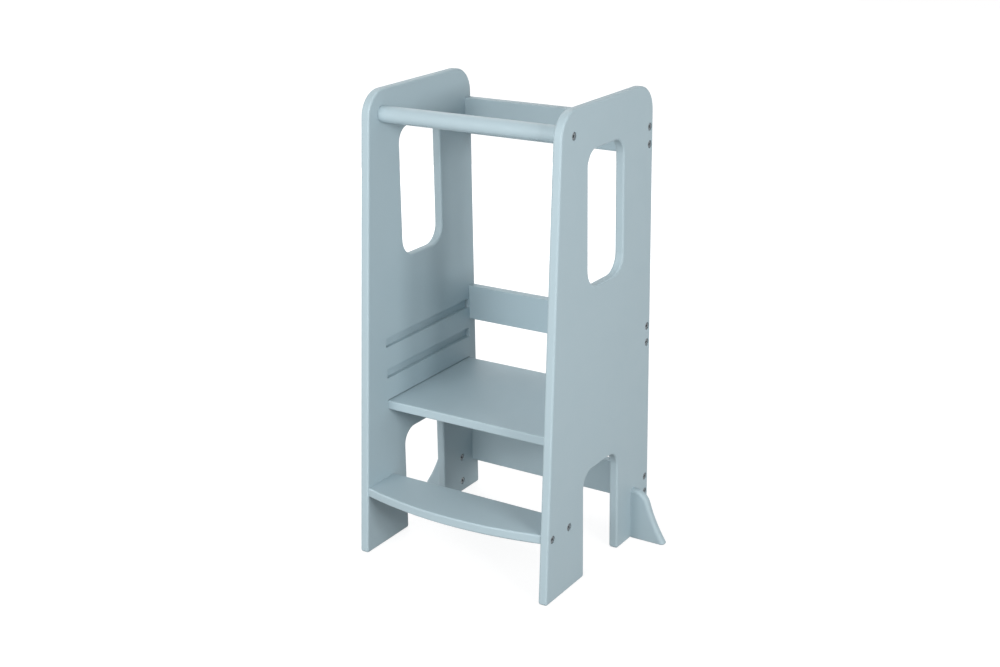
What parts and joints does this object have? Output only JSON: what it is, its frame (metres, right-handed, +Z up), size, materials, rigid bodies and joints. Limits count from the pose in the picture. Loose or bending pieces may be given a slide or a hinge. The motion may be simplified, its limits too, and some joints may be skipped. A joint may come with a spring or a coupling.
{
  "type": "toddler kitchen helper stool",
  "caption": "Tall stool a toddler stands in at a worktop: side panels with hand windows carry a platform in grooves, a curved step, back rails, a round grab bar and stabiliser feet.",
  "frame": {"origin": "on the floor, at the middle of the stool's width and depth", "axes": "+Z up; the front, where the child climbs in, faces -Y; +X is the right side seen from the front"},
  "size_m": [0.5698, 0.4082, 0.9],
  "materials": {
    "painted_board": "satin light blue-grey paint on fibreboard, with softly rounded edges",
    "painted_bar": "satin light blue-grey paint on a round wooden bar",
    "screw_steel": "dark plated steel screw with a hexagon socket"
  },
  "bodies": {
    "root": {"standing_platform": "painted_board", "lower_step": "painted_board", "top_back_rail": "painted_board", "middle_back_rail": "painted_board", "lower_back_rail": "painted_board", "front_grab_bar": "painted_bar", "left_side_panel": "painted_board", "left_stabiliser_foot": "painted_board", "right_side_panel": "painted_board", "right_stabiliser_foot": "painted_board", "left_bar_screw": "screw_steel", "left_top_rail_screws": "screw_steel", "left_middle_rail_screws": "screw_steel", "left_lower_rail_screws": "screw_steel", "left_step_screws": "screw_steel", "left_foot_screws": "screw_steel", "right_bar_screw": "screw_steel", "right_top_rail_screws": "screw_steel", "right_middle_rail_screws": "screw_steel", "right_lower_rail_screws": "screw_steel", "right_step_screws": "screw_steel", "right_foot_screws": "screw_steel"}
  },
  "joints": []
}
